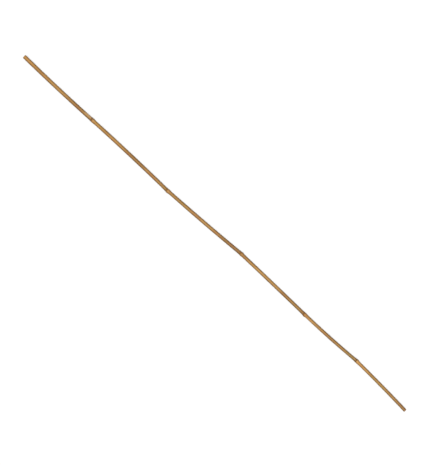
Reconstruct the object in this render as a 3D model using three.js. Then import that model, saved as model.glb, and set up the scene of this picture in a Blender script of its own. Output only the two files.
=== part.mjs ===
// A bamboo garden cane: one natural culm, cut square at both ends and lying on a flat surface.
// Lengths are in millimetres and angles in degrees. The cane runs along X with its butt at -X and
// its tip at +X, and +Z is up. The origin is the middle of its outline, on the surface it lies on.

import * as THREE from 'three';
import { mergeVertices } from 'three/addons/utils/BufferGeometryUtils.js';

// Driving dimensions.
const BUTT_DIAMETER = 8.8; // between the nodes, at the butt
const TIP_DIAMETER = 7.4; // between the nodes, at the tip
const BUTT_LUMEN_DIAMETER = 3.2; // the hollow inside, at the butt's cut face
const TIP_LUMEN_DIAMETER = 2.4;
const DIAPHRAGM_THICKNESS = 2; // the wall that closes the hollow at each node
const CUT_BEVEL = 0.3; // the edge that the saw breaks at each cut face

// From butt to tip. side is how far the middle bows towards +Y from the line between its ends.
// lift is how far an inner internode's middle bows up, or how far a free end stands up.
const INTERNODES = [
  { length: 213, side: -1.1, lift: 0.9 },
  { length: 237, side: 1.1, lift: 0.35 },
  { length: 224, side: -1, lift: 0.5 },
  { length: 202, side: 0.3, lift: 0.2 },
  { length: 162, side: -1.3, lift: 0.4 },
  { length: 162, side: 0.8, lift: 1.2 },
];
// side is the node's own place along Y. budAngle is where its bud sits round the culm, turning
// from +Y towards +Z, and buds take opposite sides in turn, on the outside of each kink.
const NODES = [
  { side: -2.3, budAngle: 48 },
  { side: -3.7, budAngle: 168 },
  { side: 4.9, budAngle: 25 },
  { side: 1.8, budAngle: 185 },
  { side: 4.6, budAngle: 35 },
];
const BUTT_SIDE = -1.2;
const TIP_SIDE = -3.2;

const RIDGE_HEIGHT = 0.65; // the swollen ring above the sheath scar, and what the cane rests on
const SCAR_HEIGHT = 0.55; // the thin rim that the fallen sheath leaves
const GAP_HEIGHT = 0.22; // the bottom of the dip between the two
// [distance from the scar towards the tip, height above the culm], across one node.
const NODE_OUTLINE = [
  [-15, 0],
  [-5, 0.1],
  [-1.4, 0.2],
  [-0.7, SCAR_HEIGHT],
  [0, SCAR_HEIGHT],
  [0.7, GAP_HEIGHT],
  [2.2, 0.3],
  [4, RIDGE_HEIGHT],
  [5.4, RIDGE_HEIGHT],
  [8, 0.28],
  [12, 0.06],
  [18, 0],
];
const BUD_HEIGHT = 0.5;
const BUD_REACH = 6; // along the culm, each way from the bud's middle
const BUD_PLACE = 4; // from the scar towards the tip
const BUD_SPREAD = 48; // round the culm, each way
const GROOVE_DEPTH = 0.3; // the flat that the bud leaves along the internode above it
const GROOVE_START = 10;
const GROOVE_LENGTH = 100;
const GROOVE_SPREAD = 32;

const SIDES = 24;
const STATION_SPACING = 42; // the most between two rings of points
const KINK_REACH = 3; // each bend at a node is eased over this distance, each way
const REST_REACH = 16; // the culm runs level this far, each way from a node it rests on

const LENGTH = INTERNODES.reduce((total, internode) => total + internode.length, 0);
const NODE_PLACES = INTERNODES.slice(0, -1).reduce(
  (places, internode) => [...places, (places.at(-1) ?? 0) + internode.length],
  [],
);
const { clamp, inverseLerp, lerp, radToDeg } = THREE.MathUtils;

// The height at a place on an outline of [place, height] points, straight between them.
function heightOnOutline(outline, place) {
  const next = outline.findIndex((point) => point[0] >= place);
  if (next <= 0) return 0;
  const [fromPlace, fromHeight] = outline[next - 1];
  const [toPlace, toHeight] = outline[next];
  return lerp(fromHeight, toHeight, inverseLerp(fromPlace, toPlace, place));
}

// A smooth hump that is 1 at 0, and 0 from -1 outwards and 1 outwards.
function hump(position) {
  const inside = clamp(position, -1, 1);
  return Math.cos((inside * Math.PI) / 2) ** 2;
}

function culmRadius(along) {
  return lerp(BUTT_DIAMETER, TIP_DIAMETER, along / LENGTH) / 2;
}

function lumenRadius(along) {
  return lerp(BUTT_LUMEN_DIAMETER, TIP_LUMEN_DIAMETER, along / LENGTH) / 2;
}

// Rings, scars and dips that go all the way round.
function nodeHeight(along) {
  const heights = NODE_PLACES.map((place) => heightOnOutline(NODE_OUTLINE, along - place));
  return Math.max(...heights);
}

// What is only on the bud's side: its swelling, and the flat above it that fades out.
function budHeight(along, angle) {
  return NODES.reduce((total, node, index) => {
    const above = along - NODE_PLACES[index];
    const turn = Math.abs(angle - node.budAngle) % 360;
    const apart = Math.min(turn, 360 - turn);
    const bud = hump((above - BUD_PLACE) / BUD_REACH) * hump(apart / BUD_SPREAD);
    const faded = above < GROOVE_START ? 0 : hump((above - GROOVE_START) / GROOVE_LENGTH);
    const groove = faded * hump(apart / GROOVE_SPREAD);
    return total + BUD_HEIGHT * bud - GROOVE_DEPTH * groove;
  }, 0);
}

// The internode that a place is on, and the places where it starts and ends.
function internodeAt(along) {
  const ends = [0, ...NODE_PLACES, LENGTH];
  const index = NODE_PLACES.filter((place) => place <= along).length;
  return { index, start: ends[index], end: ends[index + 1] };
}

function kinkedSide(along) {
  const sides = [BUTT_SIDE, ...NODES.map((node) => node.side), TIP_SIDE];
  const { index, start, end } = internodeAt(along);
  const share = inverseLerp(start, end, along);
  const bow = INTERNODES[index].side * 4 * share * (1 - share);
  return lerp(sides[index], sides[index + 1], share) + bow;
}

// The culm's middle line, sideways.
function middleSide(along) {
  const before = kinkedSide(along - KINK_REACH);
  const after = kinkedSide(along + KINK_REACH);
  return (before + 2 * kinkedSide(along) + after) / 4;
}

// How far the culm stands clear of the surface, between the ridges that it rests on.
function liftAt(along) {
  const { index, start, end } = internodeAt(along);
  const { lift } = INTERNODES[index];
  const restStart = start + REST_REACH;
  const restEnd = end - REST_REACH;
  if (index === 0) return lift * Math.max(0, inverseLerp(restEnd, start, along)) ** 2;
  if (index === NODES.length) return lift * Math.max(0, inverseLerp(restStart, end, along)) ** 2;
  return lift * hump(2 * inverseLerp(restStart, restEnd, along) - 1);
}

// The culm's middle line, upwards.
function middleHeight(along) {
  const flatDrop = Math.cos(Math.PI / SIDES); // a side's middle is nearer the axis than its edges
  return (culmRadius(along) + RIDGE_HEIGHT) * flatDrop + liftAt(along);
}

// The rings of points along the outside, from one cut to the other.
function outsideStations() {
  const reach = [NODE_OUTLINE[0][0], NODE_OUTLINE.at(-1)[0]];
  const stations = NODE_PLACES.flatMap((place) => NODE_OUTLINE.map(([offset]) => place + offset));
  INTERNODES.forEach((internode, index) => {
    const from = index === 0 ? CUT_BEVEL : NODE_PLACES[index - 1] + reach[1];
    const to = index === INTERNODES.length - 1 ? LENGTH - CUT_BEVEL : NODE_PLACES[index] + reach[0];
    const steps = Math.ceil((to - from) / STATION_SPACING);
    for (let step = 0; step <= steps; step += 1) {
      const station = lerp(from, to, step / steps);
      if (!stations.some((other) => Math.abs(other - station) < 1)) stations.push(station);
    }
  });
  return stations.sort((a, b) => a - b);
}

// The open hollow at one end, from its cut face to the first diaphragm.
function lumenStations(cut, diaphragm) {
  const steps = Math.ceil(Math.abs(diaphragm - cut) / STATION_SPACING);
  return Array.from({ length: steps + 1 }, (_, step) => lerp(cut, diaphragm, step / steps));
}

// Half of a lengthways section: x is the distance from the axis and y the place along the culm.
function caneSection() {
  const buttLumen = lumenStations(0, NODE_PLACES[0] - DIAPHRAGM_THICKNESS).reverse();
  const tipLumen = lumenStations(LENGTH, NODE_PLACES.at(-1) + DIAPHRAGM_THICKNESS);
  const wall = (stations) => stations.map((at) => new THREE.Vector2(lumenRadius(at), at));
  return [
    new THREE.Vector2(0, buttLumen[0]),
    ...wall(buttLumen),
    new THREE.Vector2(culmRadius(0) - CUT_BEVEL, 0),
    ...outsideStations().map((at) => new THREE.Vector2(culmRadius(at) + nodeHeight(at), at)),
    new THREE.Vector2(culmRadius(LENGTH) - CUT_BEVEL, LENGTH),
    ...wall(tipLumen),
    new THREE.Vector2(0, tipLumen.at(-1)),
  ];
}

// Turns the section round the axis, lays it along X, and bends it along the culm's middle line.
function caneGeometry() {
  const halfSide = Math.PI / SIDES; // turns one side of each ring to face straight down
  const lathe = new THREE.LatheGeometry(caneSection(), SIDES, halfSide);
  lathe.rotateZ(-Math.PI / 2);
  lathe.deleteAttribute('normal');
  lathe.deleteAttribute('uv');
  const geometry = mergeVertices(lathe);
  const corners = geometry.attributes.position;
  for (let corner = 0; corner < corners.count; corner += 1) {
    const along = corners.getX(corner);
    const across = corners.getY(corner);
    const up = corners.getZ(corner);
    const radius = Math.hypot(across, up);
    const isOutside = radius > culmRadius(along) - CUT_BEVEL / 2; // not the cut faces or the hollow
    const angle = radToDeg(Math.atan2(up, across));
    const grown = isOutside ? (radius + budHeight(along, angle)) / radius : 1;
    corners.setY(corner, across * grown + middleSide(along));
    corners.setZ(corner, up * grown + middleHeight(along));
  }
  geometry.computeBoundingBox();
  const middle = geometry.boundingBox.getCenter(new THREE.Vector3());
  geometry.translate(-middle.x, -middle.y, 0);
  geometry.computeVertexNormals();
  return geometry;
}

function bambooMaterial() {
  return new THREE.MeshStandardMaterial({ color: 0xa8713a, roughness: 0.45, metalness: 0 });
}

const cane = new THREE.Mesh(caneGeometry(), bambooMaterial());
cane.name = 'cane';

const bambooCane = new THREE.Group();
bambooCane.add(cane);

export default bambooCane;
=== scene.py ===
import math

import bpy
from mathutils import Matrix, Vector


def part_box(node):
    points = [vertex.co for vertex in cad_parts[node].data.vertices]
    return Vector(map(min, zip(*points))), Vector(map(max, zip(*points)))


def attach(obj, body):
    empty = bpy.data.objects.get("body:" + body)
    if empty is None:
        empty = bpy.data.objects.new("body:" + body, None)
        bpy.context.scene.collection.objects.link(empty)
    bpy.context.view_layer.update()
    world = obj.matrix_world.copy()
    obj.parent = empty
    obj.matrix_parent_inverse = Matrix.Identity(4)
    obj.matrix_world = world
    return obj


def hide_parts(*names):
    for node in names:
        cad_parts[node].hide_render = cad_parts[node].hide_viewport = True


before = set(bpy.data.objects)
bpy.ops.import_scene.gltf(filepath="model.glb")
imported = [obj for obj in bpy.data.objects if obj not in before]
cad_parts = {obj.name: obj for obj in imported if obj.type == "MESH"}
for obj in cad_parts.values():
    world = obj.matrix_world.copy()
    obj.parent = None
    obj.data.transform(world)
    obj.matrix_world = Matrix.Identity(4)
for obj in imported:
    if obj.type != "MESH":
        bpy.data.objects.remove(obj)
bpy.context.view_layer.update()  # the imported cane: one body, one node
caneLow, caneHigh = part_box("cane")
print("frame loaded: the cane is", round(caneHigh.x - caneLow.x, 4), "m long")


class Wire:  # one socket of a node tree, so that sums are written as sums
    def __init__(self, bench, socket):
        self.bench = bench
        self.socket = socket

    def __add__(self, other):
        return self.bench.maths("ADD", self, other)

    def __radd__(self, other):
        return self.bench.maths("ADD", other, self)

    def __sub__(self, other):
        return self.bench.maths("SUBTRACT", self, other)

    def __rsub__(self, other):
        return self.bench.maths("SUBTRACT", other, self)

    def __mul__(self, other):
        return self.bench.maths("MULTIPLY", self, other)

    def __rmul__(self, other):
        return self.bench.maths("MULTIPLY", other, self)

    def __truediv__(self, other):
        return self.bench.maths("DIVIDE", self, other)

    def __rtruediv__(self, other):
        return self.bench.maths("DIVIDE", other, self)

    def __abs__(self):
        return self.bench.maths("ABSOLUTE", self)

    def __lt__(self, other):
        return self.bench.maths("LESS_THAN", self, other)

    def __gt__(self, other):
        return self.bench.maths("GREATER_THAN", self, other)

    def output(self, name):  # another output of the same node
        return Wire(self.bench, self.socket.node.outputs[name])


class Bench:  # a shader or geometry tree, and the ways in which nodes are added to it
    def __init__(self, tree):
        self.tree = tree

    def put(self, kind, settings=None, sockets=None, out=0):
        node = self.tree.nodes.new(kind)
        for name, value in (settings or {}).items():
            setattr(node, name, value)
        for key, value in (sockets or {}).items():
            if isinstance(value, Wire):
                self.tree.links.new(value.socket, node.inputs[key])
            else:
                node.inputs[key].default_value = value
        return Wire(self, node.outputs[out]) if len(node.outputs) else None

    def maths(self, operation, *values):
        return self.put("ShaderNodeMath", {"operation": operation}, dict(enumerate(values)))

    def vector(self, operation, *values):
        return self.put("ShaderNodeVectorMath", {"operation": operation}, dict(enumerate(values)))

    def split(self, vector):
        x = self.put("ShaderNodeSeparateXYZ", sockets={0: vector})
        return x, x.output("Y"), x.output("Z")

    def join(self, x, y, z):
        return self.put("ShaderNodeCombineXYZ", sockets={0: x, 1: y, 2: z})

    def blend(self, share, first, second):  # two colours
        sockets = {0: share, 6: first, 7: second}
        return self.put("ShaderNodeMix", {"data_type": "RGBA"}, sockets, out=2)

    def scaled(self, value, strength):  # a colour or a vector, times a number
        settings = {"operation": "SCALE"}
        return self.put("ShaderNodeVectorMath", settings, {0: value, 3: strength})

    def rise(self, value, low, high):  # smoothly from 0 at low to 1 at high
        settings = {"interpolation_type": "SMOOTHSTEP"}
        return self.put("ShaderNodeMapRange", settings, {0: value, 1: low, 2: high})

    def hump(self, value):  # 1 at 0, down smoothly to 0 at 1 and -1
        return 1 - self.rise(abs(value), 0.0, 1.0)

    def swell(self, value, low, top, topEnd, end):  # up from low to top, down from topEnd to end
        return self.rise(value, low, top) * self.rise(value, end, topEnd)

    def noise(self, place, along, around, seed, detail=2.0, roughness=0.5):
        # along and around are how many swells there are to a millimetre
        stretched = self.vector("MULTIPLY", place, (along, around, around))
        sockets = {"Vector": stretched, "W": seed, "Scale": 1.0}
        sockets |= {"Detail": detail, "Roughness": roughness}
        return self.put("ShaderNodeTexNoise", {"noise_dimensions": "4D"}, sockets)

    def spots(self, place, along, around, reach, dimensions="3D"):  # up to one dot to a cell
        stretched = self.vector("MULTIPLY", place, (along, around, around))
        settings = {"voronoi_dimensions": dimensions}
        cell = self.put("ShaderNodeTexVoronoi", settings, {"Vector": stretched, "Scale": 1.0})
        red, green, _ = self.split(cell.output("Color"))
        return self.rise(cell, reach, reach * 0.5), red, green


def aboutOne(noise, contrast):  # from 1 less half of the contrast to 1 more half of it
    return noise * contrast + (1 - contrast / 2)


def colour(red, green, blue):  # screen values from 0 to 255, made linear
    return tuple(linear(part / 255) for part in (red, green, blue)) + (1.0,)


def linear(part):
    return part / 12.92 if part <= 0.04045 else ((part + 0.055) / 1.055) ** 2.4


# The culm runs along X as it grew, from its butt at 0.
culm = {
    # the whole of it, in metres
    "internodes": [0.213, 0.237, 0.224, 0.202, 0.162, 0.162],
    "bows": [-0.0011, 0.0011, -0.0010, 0.0003, -0.0013, 0.0008],  # sideways, in their middles
    "lifts": [0.0009, 0.00035, 0.0005, 0.0002, 0.0004, 0.0012],  # how far they stand clear
    "sides": [-0.0012, -0.0023, -0.0037, 0.0049, 0.0018, 0.0046, -0.0032],  # butt, nodes, tip
    "buttRadius": 0.0044,
    "tipRadius": 0.0037,
    "buttLumen": 0.0016,
    "tipLumen": 0.0012,
    "diaphragm": 0.002,  # how far short of its node a hollow ends
    "bevel": 0.0003,
    "kinkReach": 0.003,  # each kink is eased over this much to either side
    "restReach": 0.016,  # how far from a node it starts to stand clear
    "ridge": 0.00065,  # the swollen ring above each sheath scar
    "scar": 0.00032,  # the ragged rim that the fallen sheath leaves
    "shoulder": 0.0002,  # the broad swelling under both
    "bud": 0.0007,
    "groove": 0.0003,  # the flat above each bud
    "ovality": 0.00005,
    "waver": 0.00012,
    "fibre": 0.00003,
    "lumps": 0.0003,  # on the lining
    "ragged": 0.00036,  # how far the sawn edges wander
    "endReach": 0.004,  # how far in from a sawn end its tilt and its raggedness are felt
    # the marks of each node, in millimetres from its scar towards the tip
    "budPlaces": [3.2, 4.6, 4.4, 4.6, 4.0],
    "lipPlaces": (-2.6, -0.35, -0.3, 0.25),  # where it starts to rise, is up, starts to fall, ends
    "ridgePlaces": (0.4, 4.2, 4.4, 10.5),
    "groovePlaces": (7.0, 14.0, 16.0, 95.0),
    "shoulderPlace": 2.0,
    "shoulderReach": 15.0,
    "budLength": 2.9,  # from its middle
    "budWidth": 1.9,
    "budTaper": 0.4,
    "wander": 2.0,  # how unevenly the scar goes round
    "budDip": 0.9,  # how far it dips under the bud
    "tear": 1.2,  # how far its lip is torn
    # angles, shares and strengths
    "budTurns": [48, 168, 25, 185, 35],  # degrees round from +Y towards +Z
    "trimmed": [1.0, 0.0, 0.25, 0.0, 0.7],  # 0 is a sleeping bud and 1 a branch cut off
    "grooveTurn": 0.56,  # radians, half of its width
    "ovalTwist": 9.0,  # radians to a metre
    "budUneven": 0.6,
    "raggedFrom": 1.6,  # how far out on a sawn face it turns ragged, in radii of the hollow
    "sawTilt": 0.03,
    "newest": [1.27, 1.18, 1.06, 1.08, 1.17, 1.3],  # how bright each internode starts
    "oldest": [0.78, 0.88, 0.85, 0.82, 0.85, 0.9],  # and ends
    # how many swells of the noise there are to a millimetre, along and around
    "wanderGrain": (0.03, 0.22),
    "budGrain": (0.3, 0.5),
    "tearGrain": (0.3, 1.3),
    "waverGrain": (0.03, 0.12),
    "fibreGrain": (0.03, 1.0),
    "lumpGrain": (0.05, 0.5),
    "raggedGrain": (0.0, 1.3),
    "seed": 7.3,
    # the mesh: how far apart its rings lie, in metres
    "nodeSteps": [(0.0095, 0.00034), (0.022, 0.0009)],  # within so much of a node
    "longStep": 0.0028,  # elsewhere
    "endStep": 0.0006,
    "sawnStep": 0.00032,
    "mouthReach": 0.006,
    "mouthStep": 0.0008,
    "liningStep": 0.012,
    "mergeReach": 0.000002,
    "diaphragmRing": 0.6,  # the place of its one ring, as a share of the hollow's radius
    "facets": 96,
    "creaseTurn": 0.7,  # radians; a sharper edge isn't shaded smooth
}
millimetre = 0.001
culmLength = sum(culm["internodes"])
nodePlaces = [sum(culm["internodes"][:count]) for count in range(1, len(culm["internodes"]))]
lining, sawn, skin = 0.0, 1.0, 2.0  # the parts of the section
allLining, allSkin = 0.25, 1.75  # a face is of that part if its corners average past these


def between(start, end, share):
    return start + (end - start) * share


def culmRadius(along):
    return between(culm["buttRadius"], culm["tipRadius"], along / culmLength)


def internodeOf(along):  # its number, where it starts and ends, and the share of it gone by
    ends = [0.0, *nodePlaces, culmLength]
    number = sum(place <= along for place in nodePlaces)
    start, end = ends[number], ends[number + 1]
    return number, start, end, (along - start) / (end - start)


def kinkedSide(along):
    number, _, _, share = internodeOf(along)
    straight = between(culm["sides"][number], culm["sides"][number + 1], share)
    return straight + culm["bows"][number] * 4 * share * (1 - share)


def middleSide(along):  # the culm's middle line, sideways, with its kinks eased
    before = kinkedSide(along - culm["kinkReach"])
    after = kinkedSide(along + culm["kinkReach"])
    return (before + 2 * kinkedSide(along) + after) / 4


def middleHeight(along):  # the middle line, upwards: the ridges rest on the floor
    number, start, end, _ = internodeOf(along)
    reach = culm["restReach"]
    if number == 0:
        lift = max(0.0, (end - reach - along) / (end - reach)) ** 2
    elif number == len(nodePlaces):
        lift = max(0.0, (along - start - reach) / (end - start - reach)) ** 2
    else:
        share = (along - start - reach) / (end - start - 2 * reach)
        lift = math.sin(min(max(share, 0.0), 1.0) * math.pi) ** 2
    return culmRadius(along) + culm["ridge"] + culm["lifts"][number] * lift


def spaced(start, end, step):
    count = max(1, math.ceil(abs(end - start) / step))
    return [between(start, end, number / count) for number in range(count + 1)]


def skinPlaces():  # where the rings of the skin lie, close together at the nodes
    last = culmLength - culm["bevel"]
    places = [culm["bevel"]]
    while places[-1] < last:
        apart = min(abs(places[-1] - node) for node in nodePlaces)
        fromEnd = min(places[-1], culmLength - places[-1])
        steps = [step for reach, step in culm["nodeSteps"] if apart < reach]
        step = steps[0] if steps else culm["longStep"]
        places.append(places[-1] + (culm["endStep"] if fromEnd < culm["endReach"] else step))
    return places[:-1] + [last]


def sawnRadii(cut, lumen):  # rings across a sawn face, from the hollow outwards
    return spaced(lumen, culmRadius(cut) - culm["bevel"], culm["sawnStep"])


def sectionPoints():  # half of the section along the culm: place, radius and part
    buttEnd = nodePlaces[0] - culm["diaphragm"]
    tipEnd = nodePlaces[-1] + culm["diaphragm"]
    buttLumen, tipLumen = culm["buttLumen"], culm["tipLumen"]
    mouth = culm["mouthReach"]  # the rings of the lining lie close together this far in
    inner = culmLength - mouth
    longStep, mouthStep = culm["liningStep"], culm["mouthStep"]
    ringShare = culm["diaphragmRing"]
    points = [(buttEnd, 0.0, lining), (buttEnd, buttLumen * ringShare, lining)]
    points += [(place, buttLumen, lining) for place in spaced(buttEnd, mouth, longStep)]
    points += [(place, buttLumen, lining) for place in spaced(mouth, 0.0, mouthStep)[1:]]
    points += [(0.0, radius, sawn) for radius in sawnRadii(0.0, buttLumen)[1:]]
    points += [(place, culmRadius(place), skin) for place in skinPlaces()]
    points += [(culmLength, radius, sawn) for radius in sawnRadii(culmLength, tipLumen)[:0:-1]]
    points += [(place, tipLumen, lining) for place in spaced(culmLength, inner, mouthStep)]
    points += [(place, tipLumen, lining) for place in spaced(inner, tipEnd, longStep)[1:]]
    points += [(tipEnd, tipLumen * ringShare, lining), (tipEnd, 0.0, lining)]
    return points


def depthIn(place, radius):  # how far along the lining, from its mouth
    if place < culmLength / 2:
        return place + culm["buttLumen"] - radius
    return culmLength - place + culm["tipLumen"] - radius


def ageingAt(place):  # the skin is bright just above a node and dull below the next one
    number, _, _, share = internodeOf(place)
    return between(culm["newest"][number], culm["oldest"][number], share)


def makeSection():
    points = sectionPoints()
    mesh = bpy.data.meshes.new("caneSection")
    edges = [(number, number + 1) for number in range(len(points) - 1)]
    mesh.from_pydata([(place, radius, 0.0) for place, radius, _ in points], edges, [])
    columns = {
        "part": [part for _, _, part in points],
        "depth": [depthIn(place, radius) for place, radius, _ in points],
        "ageing": [ageingAt(place) for place, _, _ in points],
        "side": [middleSide(place) for place, _, _ in points],
        "height": [middleHeight(place) for place, _, _ in points],
    }
    for name, column in columns.items():
        mesh.attributes.new(name, "FLOAT", "POINT").data.foreach_set("value", column)
    section = bpy.data.objects.new("bamboo_cane", mesh)
    bpy.context.scene.collection.objects.link(section)
    return section


# Where a point is beside the nearest node and its bud, in millimetres from the culm's butt and
# axis. The mesh and the skin's finish both ask this, so that colours lie on their shapes.
def nodeField(bench, straight, listed):
    along, across, up = bench.split(straight)
    nearest = along - nodePlaces[0] / millimetre
    turns = [math.radians(turn) for turn in culm["budTurns"]]
    listed = listed | {"budTurn": turns, "budPlace": culm["budPlaces"]}
    field = {name: values[0] for name, values in listed.items()}
    for number in range(1, len(nodePlaces)):
        apart = along - nodePlaces[number] / millimetre
        closer = abs(apart) < abs(nearest)
        nearest = closer * apart + (1 - closer) * nearest
        for name, values in listed.items():
            field[name] = closer * values[number] + (1 - closer) * field[name]
    turn = bench.maths("ARCTAN2", up, across)
    fromBud = bench.maths("WRAP", turn - field["budTurn"], math.pi, -math.pi)
    wave = bench.noise(straight, *culm["wanderGrain"], culm["seed"], 2.0) - 0.5
    uneven = bench.noise(straight, *culm["budGrain"], culm["seed"] + 1.0, 3.0) - 0.5
    budAlong = (nearest - field["budPlace"]) / culm["budLength"]
    skinRadius = culm["buttRadius"] / millimetre
    budAcross = fromBud * skinRadius / (culm["budWidth"] - budAlong * culm["budTaper"])
    budOut = bench.maths("SQRT", budAlong * budAlong + budAcross * budAcross)
    field["nearest"] = nearest
    field["fromScar"] = nearest - wave * culm["wander"] + bench.hump(fromBud) * culm["budDip"]
    field["fromBud"] = fromBud
    field["budOut"] = budOut + uneven * culm["budUneven"]  # 0 at its middle and 1 at its edge
    return field


# Seven lengths of the skin lie above one another on the bake's map. Over them are the sawn ends,
# as discs, and the two hollows, as strips. Its sides are 1 long.
bakeLayout = {
    "rows": 7,
    "rowHeight": 0.1225,
    "rowWidth": 0.95,
    "rowMargin": 0.04,  # as a share of a row's height
    "discSize": 0.062,
    "discPlace": 0.07,
    "discApart": 0.14,
    "stripHeight": 0.1,
    "stripPlace": 0.3,
    "stripApart": 0.38,
    "stripScale": 1.69,  # to a metre of depth
}


def bakeMap(bench, held, perFace, grown):
    layout = bakeLayout
    place, turn = held(grown["place"]), held(grown["turn"])
    rowLength = culmLength / layout["rows"]
    row = bench.maths("FLOOR", perFace(grown["place"]) / rowLength)
    skinU = (place / rowLength - row - 0.5) * layout["rowWidth"] + 0.5
    margin = layout["rowMargin"]
    skinV = (row + margin + turn * (1 - 2 * margin)) * layout["rowHeight"]
    top = (1 + layout["rows"] * layout["rowHeight"]) / 2
    tipEnd = perFace(grown["place"]) > culmLength / 2
    reach = held(grown["radius"]) * (layout["discSize"] / culm["buttRadius"])
    discMiddle = tipEnd * layout["discApart"] + layout["discPlace"]
    discU = bench.maths("COSINE", turn * math.tau) * reach + discMiddle
    discV = bench.maths("SINE", turn * math.tau) * reach + top
    stripStart = tipEnd * layout["stripApart"] + layout["stripPlace"]
    stripU = held(grown["depth"]) * layout["stripScale"] + stripStart
    stripV = (turn - 0.5) * layout["stripHeight"] + top
    isSkin = perFace(grown["part"]) > allSkin
    isLining = perFace(grown["part"]) < allLining
    isSawn = 1 - isSkin - isLining
    u = isSkin * skinU + isSawn * discU + isLining * stripU
    v = isSkin * skinV + isSawn * discV + isLining * stripV
    return bench.join(u, v, 0.0)


def addInput(tree, name, kind, value):
    socket = tree.interface.new_socket(name=name, in_out="INPUT", socket_type=kind)
    if value is not None:
        socket.default_value = value
    return socket.identifier


def relief(bench, size, straight, angle, place):  # how far the skin stands out, in metres
    field = nodeField(bench, straight, {"trimmed": culm["trimmed"]})
    fromScar, budOut, seed = field["fromScar"], field["budOut"], size["Seed"]
    nearest, trimmed = field["nearest"], field["trimmed"]
    torn = bench.noise(straight, *culm["tearGrain"], seed, 3.0, 0.65)
    toLip = fromScar + (torn - 0.5) * culm["tear"]
    rim = bench.swell(toLip, *culm["lipPlaces"])
    rim = rim * (bench.rise(torn, 0.25, 0.5) * 0.6 + 0.4) * size["Scar Height"]
    ring = bench.swell(fromScar, *culm["ridgePlaces"])
    ring = ring * (size["Ridge Height"] - size["Shoulder Height"])
    toShoulder = (fromScar - culm["shoulderPlace"]) / culm["shoulderReach"]
    shoulder = bench.hump(toShoulder) * size["Shoulder Height"]
    stub = bench.rise(budOut, 1.25, 0.8) * (1.0 - bench.rise(budOut, 0.6, 0.3) * 0.6)
    sleeping = bench.hump(budOut / 1.5) * 0.9 - bench.hump((budOut - 1.0) / 0.2) * 0.2
    bud = (trimmed * stub + (1 - trimmed) * sleeping) * size["Bud Height"]
    faded = bench.swell(nearest, *culm["groovePlaces"])
    groove = bench.hump(field["fromBud"] / culm["grooveTurn"]) * faded * size["Groove Depth"]
    oval = bench.maths("COSINE", angle * 2 + place * culm["ovalTwist"]) * size["Ovality"]
    waver = bench.noise(straight, *culm["waverGrain"], seed + 3.0) * 2 - 1
    fibre = bench.noise(straight, *culm["fibreGrain"], seed + 6.0, 1.0) * 2 - 1
    grain = waver * size["Waver"] + fibre * size["Fibre Depth"]
    return rim + ring + shoulder + bud - groove + oval + grain


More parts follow.
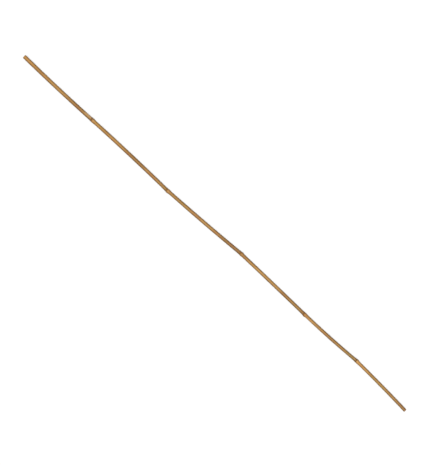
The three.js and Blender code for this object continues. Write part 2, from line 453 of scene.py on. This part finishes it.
def growTree(finishes):  # turns the section round the culm's axis and grows the nodes on it
    tree = bpy.data.node_groups.new("growCulm", "GeometryNodeTree")
    bench = Bench(tree)
    addInput(tree, "Geometry", "NodeSocketGeometry", None)
    tree.interface.new_socket(name="Geometry", in_out="OUTPUT", socket_type="NodeSocketGeometry")
    inputs = {
        "Facets": ("NodeSocketInt", culm["facets"]),
        "Ridge Height": ("NodeSocketFloat", culm["ridge"]),
        "Scar Height": ("NodeSocketFloat", culm["scar"]),
        "Shoulder Height": ("NodeSocketFloat", culm["shoulder"]),
        "Bud Height": ("NodeSocketFloat", culm["bud"]),
        "Groove Depth": ("NodeSocketFloat", culm["groove"]),
        "Ovality": ("NodeSocketFloat", culm["ovality"]),
        "Waver": ("NodeSocketFloat", culm["waver"]),
        "Fibre Depth": ("NodeSocketFloat", culm["fibre"]),
        "Ragged Edge": ("NodeSocketFloat", culm["ragged"]),
        "Saw Tilt": ("NodeSocketFloat", culm["sawTilt"]),
        "Seed": ("NodeSocketFloat", culm["seed"]),
        "Skin": ("NodeSocketMaterial", finishes["skin"]),
        "Sawn": ("NodeSocketMaterial", finishes["sawn"]),
        "Lining": ("NodeSocketMaterial", finishes["lining"]),
    }
    identifiers = {name: addInput(tree, name, *given) for name, given in inputs.items()}
    section = bench.put("NodeGroupInput", out="Geometry")
    size = {name: section.output(name) for name in inputs}

    stations = bench.put("GeometryNodeAttributeDomainSize", sockets={"Geometry": section})
    columns = size["Facets"] + 1
    counts = {"Vertices X": stations, "Vertices Y": columns}
    sheet = bench.put("GeometryNodeMeshGrid", sockets=counts)
    index = bench.put("GeometryNodeInputIndex")
    station = bench.maths("FLOOR", (index + 0.5) / columns)
    turn = (index - station * columns) / size["Facets"]
    angle = turn * math.tau

    def fromSection(value, kind="FLOAT"):
        sockets = {"Geometry": section, "Value": value, "Index": station}
        return bench.put("GeometryNodeSampleIndex", {"data_type": kind}, sockets)

    def named(name):
        settings = {"data_type": "FLOAT"}
        return bench.put("GeometryNodeInputNamedAttribute", settings, {"Name": name})

    def onDomain(domain, value):
        return bench.put("GeometryNodeFieldOnDomain", {"domain": domain}, {"Value": value})

    def held(value):  # a point's own value, for use at faces and corners
        return onDomain("POINT", value)

    def perFace(value):
        return onDomain("FACE", held(value))

    def store(geometry, name, value, kind="FLOAT", domain="POINT"):
        settings = {"data_type": kind, "domain": domain}
        sockets = {"Geometry": geometry, "Name": name, "Value": value}
        return bench.put("GeometryNodeStoreNamedAttribute", settings, sockets)

    position = bench.put("GeometryNodeInputPosition")
    place, radius, _ = bench.split(fromSection(position, "FLOAT_VECTOR"))
    part, depth = fromSection(named("part")), fromSection(named("depth"))
    cosine, sine = bench.maths("COSINE", angle), bench.maths("SINE", angle)
    ring = bench.join(place, cosine * radius, sine * radius)
    straight = bench.scaled(ring, 1 / millimetre)

    lumpy = bench.noise(straight, *culm["lumpGrain"], size["Seed"] + 9.0, 3.0) - 0.5
    isSkin, isLining = part > sawn, (part < sawn) * (radius > 0)
    outwards = isSkin * relief(bench, size, straight, angle, place)
    grown = radius + outwards + isLining * lumpy * culm["lumps"]

    fromEnd = bench.maths("MINIMUM", place, culmLength - place)
    nearCut = bench.rise(fromEnd, culm["endReach"], 0.0)
    jagged = bench.noise(straight, *culm["raggedGrain"], size["Seed"] + 12.0, 4.0, 0.7) - 0.5
    raggedFrom = culm["tipLumen"] * culm["raggedFrom"]
    atRim = bench.rise(radius, raggedFrom, culm["tipRadius"] - culm["bevel"])
    tilted = (sine + cosine * 0.6) * radius * size["Saw Tilt"]
    slip = nearCut * (tilted + jagged * atRim * size["Ragged Edge"])

    middle = bench.join(slip, fromSection(named("side")), fromSection(named("height")))
    bent = bench.vector("ADD", bench.join(place, cosine * grown, sine * grown), middle)
    culmMesh = bench.put("GeometryNodeSetPosition", sockets={"Geometry": sheet, "Position": bent})
    culmMesh = store(culmMesh, "straight", straight, "FLOAT_VECTOR")
    culmMesh = store(culmMesh, "ageing", fromSection(named("ageing")))
    culmMesh = store(culmMesh, "part", perFace(part), domain="FACE")
    bakePlaces = {"place": place, "turn": turn, "radius": radius, "depth": depth, "part": part}
    flat = bakeMap(bench, held, perFace, bakePlaces)
    culmMesh = store(culmMesh, "OFBake", flat, "FLOAT2", "CORNER")

    joined = {"Geometry": culmMesh, "Distance": culm["mergeReach"]}
    culmMesh = bench.put("GeometryNodeMergeByDistance", sockets=joined)
    culmMesh = bench.put("GeometryNodeFlipFaces", sockets={"Mesh": culmMesh})  # to face outwards
    culmMesh = bench.put("GeometryNodeSetShadeSmooth", {"domain": "FACE"}, {"Geometry": culmMesh})
    creased = bench.put("GeometryNodeInputMeshEdgeAngle") > culm["creaseTurn"]
    sharp = {"Geometry": culmMesh, "Selection": creased, "Shade Smooth": False}
    culmMesh = bench.put("GeometryNodeSetShadeSmooth", {"domain": "EDGE"}, sharp)
    culmMesh = bench.put("GeometryNodeRealizeInstances", sockets={"Geometry": culmMesh})
    facePart = named("part")
    painted = {"Skin": True, "Sawn": facePart < allSkin, "Lining": facePart < allLining}
    for name, chosen in painted.items():  # each over the one before
        sockets = {"Geometry": culmMesh, "Selection": chosen, "Material": size[name]}
        culmMesh = bench.put("GeometryNodeSetMaterial", sockets=sockets)
    bench.put("NodeGroupOutput", sockets={"Geometry": culmMesh})
    return tree, {identifiers[name]: given[1] for name, given in inputs.items()}


def makeCane(finishes):
    cane = makeSection()
    tree, values = growTree(finishes)
    grower = cane.modifiers.new("growCulm", "NODES")
    grower.node_group = tree
    for identifier, value in values.items():
        grower[identifier] = value
    graph = bpy.context.evaluated_depsgraph_get()
    settings = {"preserve_all_data_layers": True, "depsgraph": graph}
    mesh = bpy.data.meshes.new_from_object(cane.evaluated_get(graph), **settings)
    mesh.materials.pop(index=0)  # the empty slot that the grid came with
    cane.modifiers.clear()
    section, cane.data = cane.data, mesh
    bpy.data.meshes.remove(section)
    layOnFloor(mesh)
    return cane


def layOnFloor(mesh):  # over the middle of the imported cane, on the surface that it rests on
    corners = [vertex.co for vertex in mesh.vertices]
    low = Vector([min(corner[axis] for corner in corners) for axis in range(3)])
    high = Vector([max(corner[axis] for corner in corners) for axis in range(3)])
    move = (caneLow + caneHigh - low - high) / 2
    move.z = caneLow.z - low.z
    mesh.transform(Matrix.Translation(move))


def newFinish(name):
    material = bpy.data.materials.new(name)
    material.use_nodes = True
    material.node_tree.nodes.clear()
    return material, Bench(material.node_tree)


def surface(bench, fixed, varied):  # the shader: values all over it, and what changes over it
    shader = bench.put("ShaderNodeBsdfPrincipled", sockets=fixed | varied)
    bench.put("ShaderNodeOutputMaterial", sockets={"Surface": shader})


def attribute(bench, name, out):
    return bench.put("ShaderNodeAttribute", {"attribute_name": name}, out=out)


def bumped(bench, height, strength, distance):
    sockets = {"Height": height, "Strength": strength, "Distance": distance}
    return bench.put("ShaderNodeBump", sockets=sockets)


skinFinish = {
    "honey": colour(180, 134, 67),
    "caramel": colour(151, 107, 48),
    "reddish": colour(153, 96, 46),
    "olive": colour(145, 115, 48),
    "bloom": colour(205, 164, 112),  # the dry wax below a node
    "stain": colour(86, 50, 20),
    "scar": colour(76, 41, 15),
    "lip": colour(152, 112, 64),
    "dull": colour(126, 80, 34),
    "ridge": colour(194, 142, 84),
    "freshCut": colour(182, 142, 90),
    # painted shade: the dark of a trimmed stub's hollow
    "stubHollowShade": colour(50, 31, 17),
    "scarStrength": [0.8, 0.7, 0.45, 0.8, 1.0],  # one for each node
    "ridgeStrength": [0.5, 0.9, 0.25, 0.2, 0.7],
    "bloomStrength": [1.0, 0.15, 0.25, 0.1, 0.2],
    "mottleGrain": (0.014, 0.1),  # swells to a millimetre, along and around
    "redGrain": (0.028, 0.12),
    "greenGrain": (0.02, 0.1),
    "wideGrain": (0.02, 1.6),
    "fineGrain": (0.05, 7.0),
    "streakGrain": (0.018, 0.8),
    "fleckGrain": (0.22, 3.2),
    "speckGrain": (0.5, 1.0),
    "tornGrain": (0.1, 1.4),
    "frayedGrain": (0.5, 3.0),
    "reddening": 0.6,  # how strongly each of them shows
    "greening": 0.6,
    "wideFibres": 0.52,
    "fineFibres": 0.32,
    "streaking": 0.55,
    "flecking": 0.7,
    "specking": 0.8,
    "blooming": 0.8,
    # painted shade below each sheath scar
    "shadingBelowScar": 0.45,
    "dipping": 0.6,
    "undercutting": 0.45,
    "stubHollowShading": 0.9,
    "budEdging": 0.85,
    "shaded": 0.74,  # how bright the lower side is painted, as painted shade
    "paintedTopLight": 1.06,  # and the upper one, as painted light
    "roughness": 0.46,
    "coat": 0.06,
    "coatRoughness": 0.3,
    "specular": 0.35,
    "bump": 0.7,
    "bumpDepth": 0.00015,
}


def skinMaterial():
    look = skinFinish
    material, bench = newFinish("cane_skin")
    straight = attribute(bench, "straight", "Vector")
    ageing = attribute(bench, "ageing", "Fac")
    strengths = {"scarred": look["scarStrength"], "ridge": look["ridgeStrength"]}
    strengths |= {"bloom": look["bloomStrength"], "trimmed": culm["trimmed"]}
    field = nodeField(bench, straight, strengths)
    fromScar, budOut, trimmed = field["fromScar"], field["budOut"], field["trimmed"]

    # the skin between the nodes
    broad = bench.noise(straight, *look["mottleGrain"], 1.0, 4.0, 0.6)
    tint = bench.blend(bench.rise(broad, 0.36, 0.64), look["caramel"], look["honey"])
    reddened = bench.rise(bench.noise(straight, *look["redGrain"], 2.0, 3.0), 0.5, 0.68)
    tint = bench.blend(reddened * look["reddening"], tint, look["reddish"])
    greened = bench.rise(bench.noise(straight, *look["greenGrain"], 3.0, 2.0), 0.53, 0.7)
    tint = bench.blend(greened * look["greening"], tint, look["olive"])
    wideFibre = bench.noise(straight, *look["wideGrain"], 4.0, 3.0, 0.65)
    fineFibre = bench.noise(straight, *look["fineGrain"], 5.0, 3.0, 0.7)
    wide = aboutOne(wideFibre, look["wideFibres"])
    fine = aboutOne(fineFibre, look["fineFibres"])
    tint = bench.scaled(tint, ageing * wide * fine)

    # painted light and shade: the upper side is painted lighter and the lower side darker
    _, across, up = bench.split(straight)
    facing = up / bench.maths("SQRT", across * across + up * up)
    paintedLitShare = bench.rise(facing + (broad - 0.5) * 0.3, 0.45, 1.0)
    tint = bench.scaled(tint, look["shaded"] + paintedLitShare * (look["paintedTopLight"] - look["shaded"]))

    # weathering: dark streaks, flecks and specks
    streak = bench.noise(straight, *look["streakGrain"], 6.0, 3.0, 0.55)
    streak = bench.rise(streak, 0.56, 0.74)
    tint = bench.blend(streak * look["streaking"], tint, look["stain"])
    fleck, fleckChance, fleckWeight = bench.spots(straight, *look["fleckGrain"], 0.3)
    fleck = fleck * (fleckChance > 0.45) * fleckWeight * bench.rise(fineFibre, 0.3, 0.6)
    tint = bench.blend(fleck * look["flecking"], tint, look["stain"])
    speck, speckChance, speckWeight = bench.spots(straight, *look["speckGrain"], 0.13)
    speck = speck * (speckChance > 0.8) * speckWeight
    tint = bench.blend(speck * look["specking"], tint, look["stain"])

    # the node: bloom and painted shade below the sheath scar, its torn lip, the dip and the worn
    # ridge
    torn = bench.noise(straight, *look["tornGrain"], 8.0, 3.0, 0.65) - 0.5
    frayed = bench.noise(straight, *look["frayedGrain"], 9.0, 3.0, 0.7)
    scarred = field["scarred"]
    bloomed = bench.rise(fromScar + torn * 8.0, -27.0, -17.0)
    bloomed = bloomed * bench.rise(fromScar + torn * 5.0, -1.0, -4.0)
    bloomed = bloomed * bench.hump(field["fromBud"] / 1.3) * field["bloom"]
    tint = bench.blend(bloomed * look["blooming"], tint, look["bloom"])
    # painted shade: a darker band just under each sheath scar
    shadeBelowScar = bench.rise(fromScar + torn * 5.0, -4.5, -0.6) * bench.rise(fromScar, 0.3, -0.4)
    tint = bench.blend(shadeBelowScar * look["shadingBelowScar"] * scarred, tint, look["dull"])
    dipped = bench.rise(fromScar, -0.2, 0.5) * bench.rise(fromScar + torn * 1.5, 3.0, 1.0)
    tint = bench.blend(dipped * look["dipping"] * scarred, tint, look["dull"])
    ridged = bench.hump((fromScar - 5.2 + torn * 2.5) / 3.8) * field["ridge"]
    tint = bench.blend(ridged * (0.3 + frayed * 0.9), tint, look["ridge"])
    lip = bench.hump((fromScar + 0.6 + torn * 1.2) / 0.7)
    tint = bench.blend(lip * bench.rise(frayed, 0.3, 0.6), tint, look["lip"])
    crease = bench.hump((fromScar - 0.3 + torn) / (0.4 + scarred * 0.6))
    undercut = bench.hump((fromScar + 1.5 + torn * 3.0) / 0.3) * bench.rise(frayed, 0.4, 0.6)
    grooves = crease * (0.5 + scarred * 0.5) + undercut * scarred * look["undercutting"]
    tint = bench.blend(grooves, tint, look["scar"])

    # the buds, pressed flat or trimmed to a stub
    cutFace = bench.rise(budOut, 0.98, 0.84) * trimmed
    # painted shade: the dark of the stub's hollow, over a shallow dip in its shape
    stubHollowShade = bench.rise(budOut, 0.6, 0.4) * trimmed
    scale = bench.rise(budOut, 1.0, 0.5) * (1 - trimmed)
    budEdge = bench.hump((budOut - 1.0) / 0.16) * (bench.rise(frayed, 0.3, 0.6) * 0.6 + 0.4)
    tint = bench.blend(cutFace * (0.6 + fineFibre * 0.6), tint, look["freshCut"])
    tint = bench.blend(stubHollowShade * look["stubHollowShading"], tint, look["stubHollowShade"])
    tint = bench.blend(scale * (0.35 + fineFibre * 0.6), tint, look["dull"])
    tint = bench.blend(budEdge * look["budEdging"], tint, look["scar"])

    dry = lip * 0.3 + cutFace * 0.4 + bloomed * 0.3 + dipped * 0.2
    rough = look["roughness"] + wideFibre * 0.16 + streak * 0.15 + dry
    coat = look["coat"] * (1 - lip) * (1 - cutFace) * (1 - bloomed)
    ribs = wideFibre * 0.8 + fineFibre * 0.5 - speck * 0.5 - fleck * 0.3
    tears = frayed * (lip + ridged * 0.3 + cutFace * 0.5) - grooves - budEdge * 0.8
    fixed = {"Coat Roughness": look["coatRoughness"], "Specular IOR Level": look["specular"]}
    normal = bumped(bench, ribs + tears, look["bump"], look["bumpDepth"])
    varied = {"Base Color": tint, "Roughness": rough, "Coat Weight": coat, "Normal": normal}
    surface(bench, fixed, varied)
    return material


sawnFinish = {
    "straw": colour(210, 176, 124),
    "weathered": colour(166, 130, 86),
    "bundle": colour(104, 70, 40),
    "rind": colour(132, 90, 48),
    "bundlesOutside": 4.6,  # to a millimetre
    "bundlesInside": 2.1,
    "sawLines": 6.0,
    "mottleGrain": (0.0, 0.9),
    "rindDepths": (0.4, 0.02),  # millimetres in from the rim: where it starts, and is full
    "bundling": 0.65,  # how strongly each of them shows
    "rinding": 0.8,
    "sawing": 0.56,
    "roughness": 0.85,
    "bump": 0.7,
    "bumpDepth": 0.00015,
}


def sawnMaterial():
    look = sawnFinish
    material, bench = newFinish("cane_sawn_end")
    straight = attribute(bench, "straight", "Vector")
    along, across, up = bench.split(straight)
    fromAxis = bench.maths("SQRT", across * across + up * up)
    thinner = (culm["buttRadius"] - culm["tipRadius"]) / millimetre
    atTip = along > culmLength / 2 / millimetre
    fromRim = (culm["buttRadius"] - culm["bevel"]) / millimetre - atTip * thinner - fromAxis
    onFace = bench.join(across, up, 0.0)
    outer = bench.rise(fromRim, 1.9, 0.3)
    mottle = bench.noise(straight, *look["mottleGrain"], 11.0, 5.0, 0.65)
    tint = bench.blend(bench.rise(mottle, 0.35, 0.7), look["straw"], look["weathered"])
    fine, wide = look["bundlesOutside"], look["bundlesInside"]
    dense, _, denseWeight = bench.spots(onFace, fine, fine, 0.36, "2D")
    sparse, _, sparseWeight = bench.spots(onFace, wide, wide, 0.2, "2D")
    bundles = outer * dense * (denseWeight + 0.4) + (1 - outer) * sparse * (sparseWeight + 0.3)
    tint = bench.blend(bundles * look["bundling"], tint, look["bundle"])
    rind = bench.rise(fromRim, *look["rindDepths"])
    tint = bench.blend(rind * look["rinding"], tint, look["rind"])
    sawLine = bench.join(0.0, across + up * 0.35 + mottle * 0.12, 0.0)
    sawMarks = bench.noise(sawLine, 0.0, look["sawLines"], 12.0, 3.0, 0.6)
    tint = bench.scaled(tint, aboutOne(sawMarks, look["sawing"]))
    height = sawMarks * 0.9 - bundles * 0.5 + mottle * 0.4
    normal = bumped(bench, height, look["bump"], look["bumpDepth"])
    varied = {"Base Color": tint, "Normal": normal}
    surface(bench, {"Roughness": look["roughness"]}, varied)
    return material


liningFinish = {
    "paper": colour(186, 152, 104),
    "shaded": colour(128, 94, 58),
    "mottleGrain": (0.15, 0.9),
    "roughness": 0.9,
    "bump": 0.5,
    "bumpDepth": 0.0002,
}


def liningMaterial():
    look = liningFinish
    material, bench = newFinish("cane_hollow_lining")
    straight = attribute(bench, "straight", "Vector")
    mottle = bench.noise(straight, *look["mottleGrain"], 21.0, 4.0, 0.6)
    tint = bench.blend(bench.rise(mottle, 0.35, 0.7), look["paper"], look["shaded"])
    normal = bumped(bench, mottle, look["bump"], look["bumpDepth"])
    surface(bench, {"Roughness": look["roughness"]}, {"Base Color": tint, "Normal": normal})
    return material


finishes = {"skin": skinMaterial(), "sawn": sawnMaterial(), "lining": liningMaterial()}
print("finishes made:", ", ".join(finishes))

cane = makeCane(finishes)
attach(cane, "root")
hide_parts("cane")
print("cane grown:", len(cane.data.polygons), "faces")

studio = {
    "view": (-0.0012, -0.0005, 2.986),  # the camera looks straight down
    "turn": 42.82,  # degrees, so that the butt lies at the upper left
    "lens": 100.0,
    "sensor": 36.0,
    "floorSize": 12.0,
    "floorTone": colour(250, 250, 250),
    "floorRoughness": 0.9,
    "keyStrength": 2.75,
    "keySpread": 30.0,  # degrees across, which keeps its shadows soft
    "keyTilt": (3.0, 4.0),
    "skyTone": colour(255, 255, 255),
    "fill": 0.24,  # how bright the sky is as a light
    "backdrop": 1.0,  # the same sky, as the camera sees it
}


def makeCamera():
    lens = bpy.data.cameras.new("camera")
    lens.lens = studio["lens"]
    lens.sensor_width = studio["sensor"]
    camera = bpy.data.objects.new("camera", lens)
    camera.location = studio["view"]
    camera.rotation_euler = (0.0, 0.0, math.radians(studio["turn"]))
    bpy.context.scene.collection.objects.link(camera)
    bpy.context.scene.camera = camera


def makeFloor():
    half = studio["floorSize"] / 2
    mesh = bpy.data.meshes.new("floor")
    corners = [(-half, -half, 0.0), (half, -half, 0.0), (half, half, 0.0), (-half, half, 0.0)]
    mesh.from_pydata(corners, [], [(0, 1, 2, 3)])
    floor = bpy.data.objects.new("floor", mesh)
    bpy.context.scene.collection.objects.link(floor)
    material, bench = newFinish("floor_paper")
    look = {"Base Color": studio["floorTone"], "Roughness": studio["floorRoughness"]}
    surface(bench, look, {})
    mesh.materials.append(material)
    floor.visible_diffuse = False  # a white floor would light the cane's sides from below
    floor.visible_glossy = False


def makeLights():
    lamp = bpy.data.lights.new("key", "SUN")
    lamp.energy = studio["keyStrength"]
    lamp.angle = math.radians(studio["keySpread"])
    key = bpy.data.objects.new("key", lamp)
    key.rotation_euler = [math.radians(tilt) for tilt in (*studio["keyTilt"], 0.0)]
    bpy.context.scene.collection.objects.link(key)
    world = bpy.data.worlds.new("studio")
    world.use_nodes = True
    world.node_tree.nodes.clear()
    bench = Bench(world.node_tree)
    seen = bench.put("ShaderNodeLightPath", out="Is Camera Ray")
    strength = studio["fill"] + seen * (studio["backdrop"] - studio["fill"])
    glow = {"Color": studio["skyTone"], "Strength": strength}
    sky = bench.put("ShaderNodeBackground", sockets=glow)
    bench.put("ShaderNodeOutputWorld", sockets={"Surface": sky})
    bpy.context.scene.world = world
    bpy.context.scene.view_settings.view_transform = "Standard"


makeCamera()
makeFloor()
makeLights()
print("studio ready")
